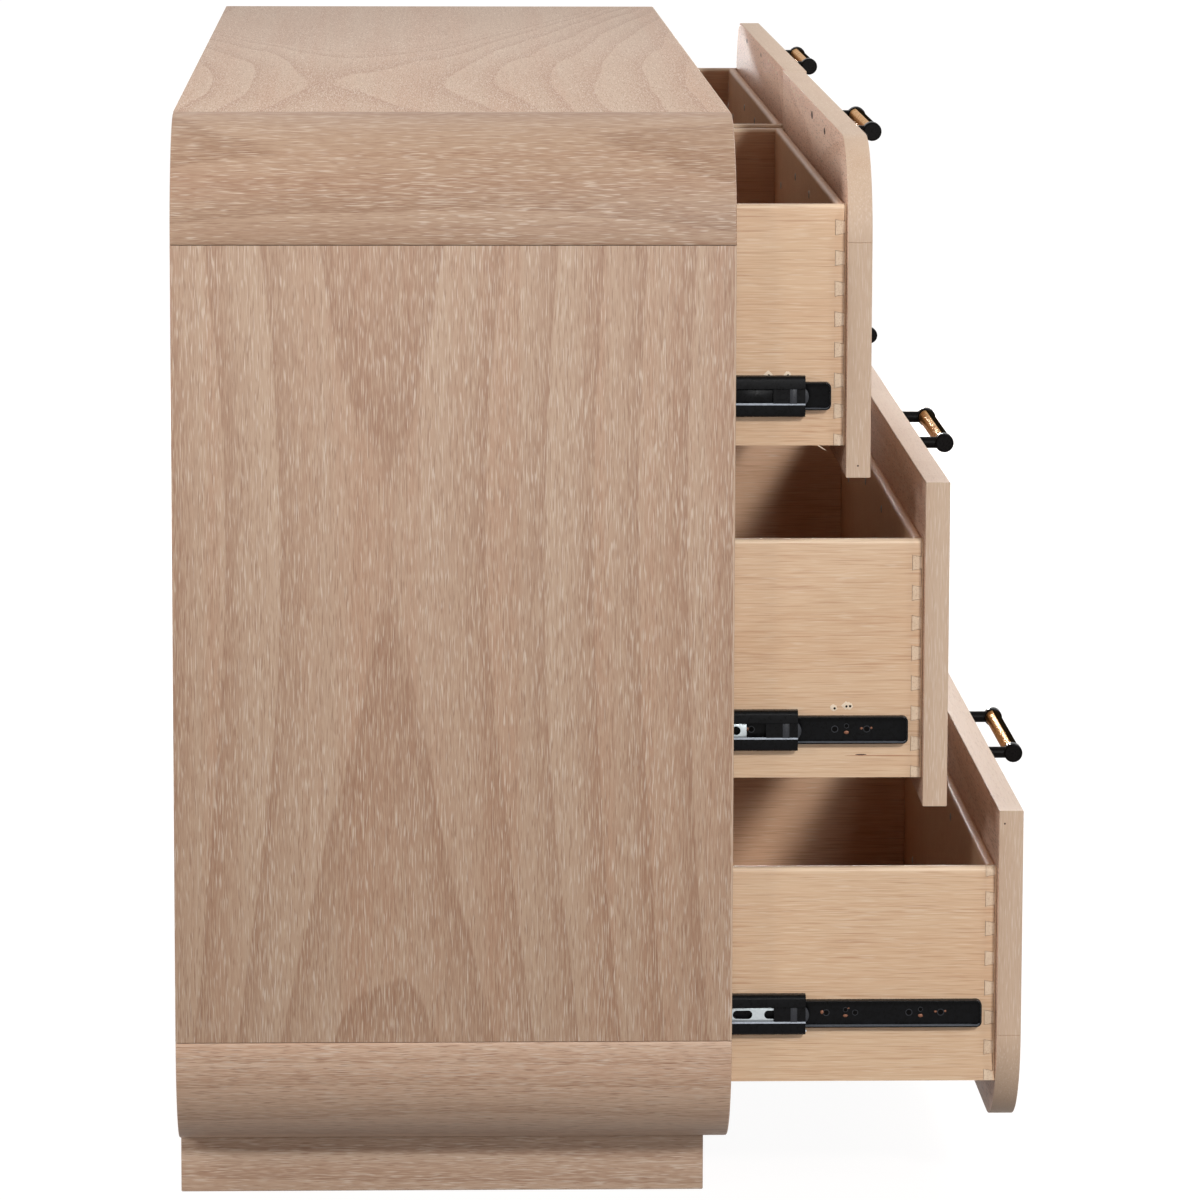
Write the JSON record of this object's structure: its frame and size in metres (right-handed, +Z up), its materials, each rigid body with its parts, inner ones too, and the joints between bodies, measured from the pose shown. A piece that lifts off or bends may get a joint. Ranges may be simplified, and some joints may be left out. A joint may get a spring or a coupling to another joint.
{
  "type": "dresser",
  "caption": "Low wide dresser with rounded case corners, inset drawers on telescopic slides, bar handles and a recessed plinth.",
  "frame": {"origin": "middle of the floor that the dresser covers with its drawers standing open as in the picture", "axes": "+X along the length, to the right as seen from the front; +Y from the drawer fronts to the back; +Z up"},
  "size_m": [1.776, 0.7296, 0.907],
  "materials": {
    "case_oak": "limed oak veneer, matt lacquer",
    "front_oak": "limed oak veneer, matt lacquer",
    "back_sheet": "thin plywood, stained",
    "box_birch": "birch plywood, clear lacquer",
    "base_sheet": "birch plywood, clear lacquer",
    "slide_steel": "black electro-coated rolled steel",
    "handle_brass": "brushed brass bar with black caps and posts"
  },
  "bodies": {
    "case": {"top_panel": "case_oak", "bottom_panel": "case_oak", "end_panel_left": "case_oak", "end_panel_right": "case_oak", "corner_block_top_left": "case_oak", "corner_block_top_right": "case_oak", "corner_block_bottom_left": "case_oak", "corner_block_bottom_right": "case_oak", "centre_partition": "case_oak", "back_panel": "back_sheet", "plinth_frame": "case_oak"},
    "drawer_top_left": {"drawer_top_left_front": "front_oak", "drawer_top_left_handle": "handle_brass", "drawer_top_left_box_front": "box_birch", "drawer_top_left_box_side_outer": "box_birch", "drawer_top_left_box_side_inner": "box_birch", "drawer_top_left_base": "base_sheet"},
    "runners_top_left": {"drawer_top_left_runner_outer": "slide_steel", "drawer_top_left_runner_inner": "slide_steel"},
    "drawer_top_right": {"drawer_top_right_front": "front_oak", "drawer_top_right_handle": "handle_brass", "drawer_top_right_box_front": "box_birch", "drawer_top_right_box_side_outer": "box_birch", "drawer_top_right_box_side_inner": "box_birch", "drawer_top_right_base": "base_sheet"},
    "runners_top_right": {"drawer_top_right_runner_outer": "slide_steel", "drawer_top_right_runner_inner": "slide_steel"},
    "drawer_middle_left": {"drawer_middle_left_front": "front_oak", "drawer_middle_left_handle": "handle_brass", "drawer_middle_left_box_front": "box_birch", "drawer_middle_left_box_side_outer": "box_birch", "drawer_middle_left_box_side_inner": "box_birch", "drawer_middle_left_base": "base_sheet"},
    "runners_middle_left": {"drawer_middle_left_runner_outer": "slide_steel", "drawer_middle_left_runner_inner": "slide_steel"},
    "drawer_middle_right": {"drawer_middle_right_front": "front_oak", "drawer_middle_right_handle": "handle_brass", "drawer_middle_right_box_front": "box_birch", "drawer_middle_right_box_side_outer": "box_birch", "drawer_middle_right_box_side_inner": "box_birch", "drawer_middle_right_base": "base_sheet"},
    "runners_middle_right": {"drawer_middle_right_runner_outer": "slide_steel", "drawer_middle_right_runner_inner": "slide_steel"},
    "drawer_bottom_left": {"drawer_bottom_left_front": "front_oak", "drawer_bottom_left_handle": "handle_brass", "drawer_bottom_left_box_front": "box_birch", "drawer_bottom_left_box_side_outer": "box_birch", "drawer_bottom_left_box_side_inner": "box_birch", "drawer_bottom_left_base": "base_sheet"},
    "runners_bottom_left": {"drawer_bottom_left_runner_outer": "slide_steel", "drawer_bottom_left_runner_inner": "slide_steel"},
    "drawer_bottom_right": {"drawer_bottom_right_front": "front_oak", "drawer_bottom_right_handle": "handle_brass", "drawer_bottom_right_box_front": "box_birch", "drawer_bottom_right_box_side_outer": "box_birch", "drawer_bottom_right_box_side_inner": "box_birch", "drawer_bottom_right_base": "base_sheet"},
    "runners_bottom_right": {"drawer_bottom_right_runner_outer": "slide_steel", "drawer_bottom_right_runner_inner": "slide_steel"}
  },
  "joints": [
    {"name": "drawer_top_left_slide", "type": "slide", "parent": "case", "child": "drawer_top_left", "axis": [0, -1, 0], "range_m": [-0.111, 0.289]},
    {"name": "runners_top_left_slide", "type": "slide", "parent": "case", "child": "runners_top_left", "axis": [0, -1, 0], "range_m": [-0.09, 0.23433]},
    {"name": "drawer_top_right_slide", "type": "slide", "parent": "case", "child": "drawer_top_right", "axis": [0, -1, 0], "range_m": [-0.1135, 0.2865]},
    {"name": "runners_top_right_slide", "type": "slide", "parent": "case", "child": "runners_top_right", "axis": [0, -1, 0], "range_m": [-0.092, 0.23223]},
    {"name": "drawer_middle_left_slide", "type": "slide", "parent": "case", "child": "drawer_middle_left", "axis": [0, -1, 0], "range_m": [-0.1765, 0.2235]},
    {"name": "runners_middle_left_slide", "type": "slide", "parent": "case", "child": "runners_middle_left", "axis": [0, -1, 0], "range_m": [-0.086, 0.1089]},
    {"name": "drawer_middle_right_slide", "type": "slide", "parent": "case", "child": "drawer_middle_right", "axis": [0, -1, 0], "range_m": [-0.1765, 0.2235]},
    {"name": "runners_middle_right_slide", "type": "slide", "parent": "case", "child": "runners_middle_right", "axis": [0, -1, 0], "range_m": [-0.086, 0.1089]},
    {"name": "drawer_bottom_left_slide", "type": "slide", "parent": "case", "child": "drawer_bottom_left", "axis": [0, -1, 0], "range_m": [-0.24, 0.16]},
    {"name": "runners_bottom_left_slide", "type": "slide", "parent": "case", "child": "runners_bottom_left", "axis": [0, -1, 0], "range_m": [-0.0942, 0.0628]},
    {"name": "drawer_bottom_right_slide", "type": "slide", "parent": "case", "child": "drawer_bottom_right", "axis": [0, -1, 0], "range_m": [-0.24, 0.16]},
    {"name": "runners_bottom_right_slide", "type": "slide", "parent": "case", "child": "runners_bottom_right", "axis": [0, -1, 0], "range_m": [-0.0942, 0.0628]}
  ],
  "couplings": [
    {"joint": "runners_top_left_slide", "follows": "drawer_top_left_slide", "ratio": 0.81081},
    {"joint": "runners_top_right_slide", "follows": "drawer_top_right_slide", "ratio": 0.81057},
    {"joint": "runners_middle_left_slide", "follows": "drawer_middle_left_slide", "ratio": 0.48725},
    {"joint": "runners_middle_right_slide", "follows": "drawer_middle_right_slide", "ratio": 0.48725},
    {"joint": "runners_bottom_left_slide", "follows": "drawer_bottom_left_slide", "ratio": 0.3925},
    {"joint": "runners_bottom_right_slide", "follows": "drawer_bottom_right_slide", "ratio": 0.3925}
  ]
}
